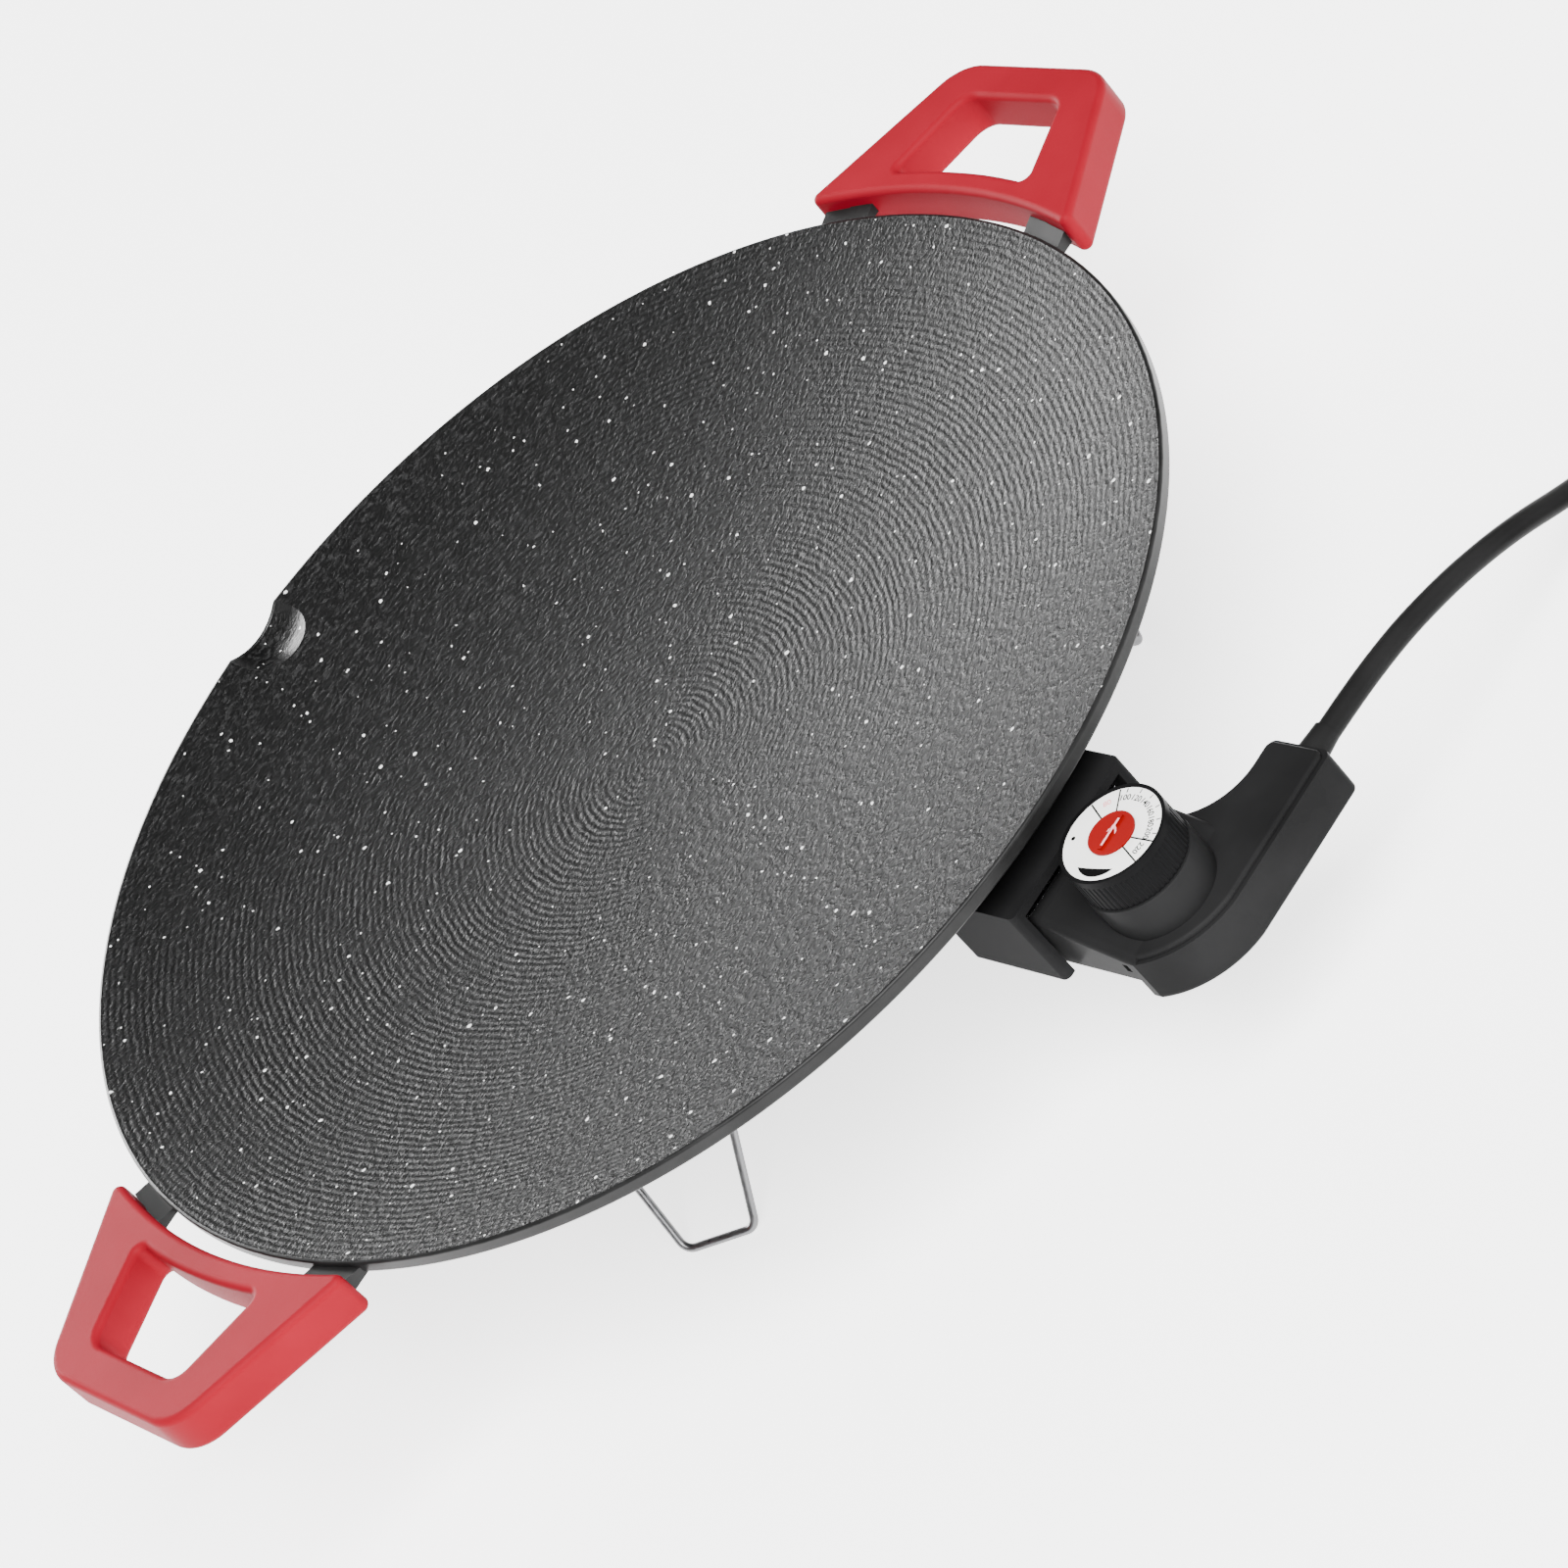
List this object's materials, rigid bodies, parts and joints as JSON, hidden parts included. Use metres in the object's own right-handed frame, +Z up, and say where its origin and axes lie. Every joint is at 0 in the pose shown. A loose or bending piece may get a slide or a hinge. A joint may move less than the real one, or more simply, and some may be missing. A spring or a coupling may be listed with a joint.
{
  "type": "electric griddle",
  "caption": "Round shallow-dished electric griddle with loop grips, folding wire legs and a plug-in dial control with a mains lead.",
  "frame": {"origin": "on the table plane, directly below the middle of the round plate", "axes": "+Z up, -Y towards the control's socket, +X towards the right handle seen from the control's side"},
  "size_m": [0.4924, 0.4939, 0.0924],
  "materials": {
    "coated_casting": "dark speckled stone-effect non-stick coating, fine pebbled, with turned rings",
    "heater_sheath": "dull heated sheath",
    "bright_steel": "bright drawn steel",
    "leg_wire": "bright zinc-plated wire",
    "dull_steel": "pressed zinc-plated sheet",
    "screw_steel": "zinc-plated screws",
    "ceramic": "glazed steatite",
    "black_moulding": "satin black heat-resistant moulding",
    "case_black": "semi-gloss black moulding",
    "knob_black": "fluted semi-gloss black knob",
    "brown_bakelite": "dark phenolic moulding",
    "contact_brass": "turned or pressed brass",
    "dial_white": "printed white scale",
    "dial_red": "red centre disc with a pointer",
    "red_grip": "soft satin red heat-resistant grip",
    "cord_black": "satin black flexible lead",
    "tie_black": "flat strap",
    "plug_blue_black": "dark blue-black moulded plug",
    "plug_metal": "bright plated blades"
  },
  "bodies": {
    "griddle": {"griddle_plate": "coated_casting", "heater_element": "heater_sheath", "terminal_pins": "bright_steel", "pin_insulators": "ceramic", "terminal_plate": "dull_steel", "socket_hood": "black_moulding", "hood_screws": "screw_steel", "left_handle": "red_grip", "right_handle": "red_grip", "handle_screws": "screw_steel", "left_leg_bracket": "dull_steel", "right_leg_bracket": "dull_steel", "rear_leg_bracket": "dull_steel", "bracket_screws": "screw_steel"},
    "left_leg": {"left_leg": "leg_wire"},
    "right_leg": {"right_leg": "leg_wire"},
    "rear_leg": {"rear_leg": "leg_wire"},
    "control": {"lower_case": "case_black", "upper_case": "case_black", "case_screws": "screw_steel", "terminal_block": "brown_bakelite", "contact_shield": "bright_steel", "terminal_sleeves": "contact_brass", "probe_rod": "bright_steel", "thermostat_frame": "dull_steel", "ceramic_stack": "ceramic", "contact_blade": "contact_brass", "fixed_contact": "contact_brass", "strain_relief": "cord_black", "cord_clamp": "brown_bakelite", "mains_cord": "cord_black", "cord_coil": "cord_black", "cord_tail": "cord_black", "cord_tie": "tie_black", "plug_body": "plug_blue_black", "plug_blades": "plug_metal", "plug_ground_pin": "plug_metal"},
    "dial": {"dial_spindle": "contact_brass", "dial_knob": "knob_black", "dial_face": "dial_white", "dial_cap": "dial_red"}
  },
  "joints": [
    {"name": "left_leg_fold", "type": "hinge", "parent": "griddle", "child": "left_leg", "pos_m": [-0.08278, -0.05521, 0.058], "axis": [0.5548, -0.832, 0], "range_deg": [0, 116]},
    {"name": "right_leg_fold", "type": "hinge", "parent": "griddle", "child": "right_leg", "pos_m": [0.08278, -0.05521, 0.058], "axis": [0.5548, 0.832, 0], "range_deg": [0, 116]},
    {"name": "rear_leg_fold", "type": "hinge", "parent": "griddle", "child": "rear_leg", "pos_m": [0, 0.0995, 0.058], "axis": [-1, 0, 0], "range_deg": [0, 116]},
    {"name": "control_plug_in", "type": "slide", "parent": "griddle", "child": "control", "axis": [0, -1, 0], "range_m": [0, 0.08]},
    {"name": "dial_turn", "type": "hinge", "parent": "control", "child": "dial", "pos_m": [0, -0.214, 0.076], "axis": [0, 0, -1], "range_deg": [0, 270]}
  ]
}
